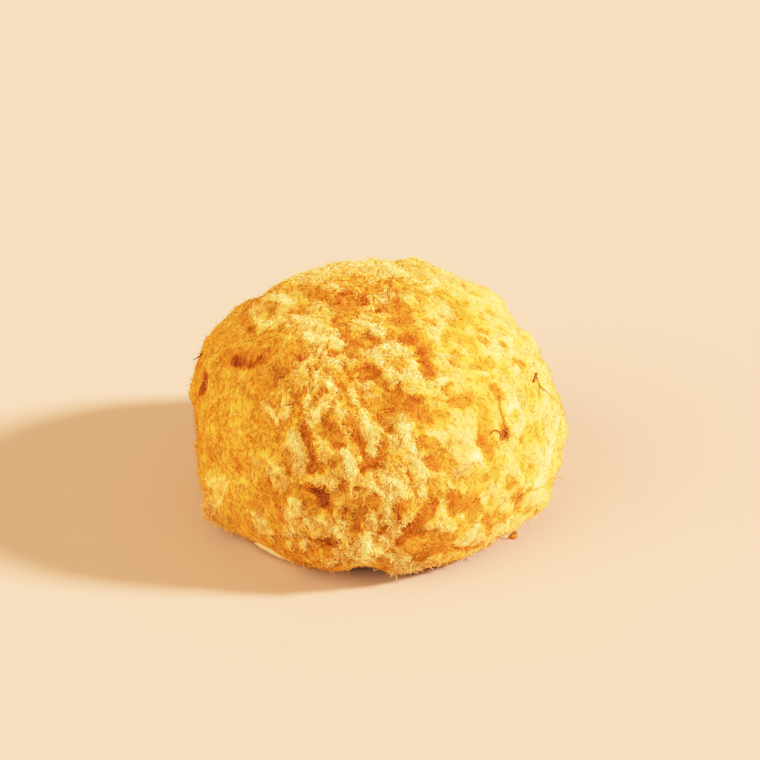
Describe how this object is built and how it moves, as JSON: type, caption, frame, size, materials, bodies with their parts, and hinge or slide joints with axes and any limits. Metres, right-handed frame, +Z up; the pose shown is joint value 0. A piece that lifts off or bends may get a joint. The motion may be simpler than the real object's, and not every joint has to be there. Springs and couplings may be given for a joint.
{
  "type": "cream cheese floss bun",
  "caption": "Round soft bread bun inside a shaggy golden coat of meat floss, resting on the bread's flat foot.",
  "frame": {"origin": "middle of the bread's flat foot, on the table", "axes": "+Z up, with the front that the picture shows towards -Y and +X to the right of it"},
  "size_m": [0.0937, 0.09, 0.0574],
  "materials": {
    "bread": "soft pale cream bread side, browned lightly on the foot",
    "floss": "dry matted floss fibres, pale yellow on the tufts and orange in the hollows"
  },
  "bodies": {
    "root": {"bread": "bread", "floss_coat": "floss"}
  },
  "joints": []
}
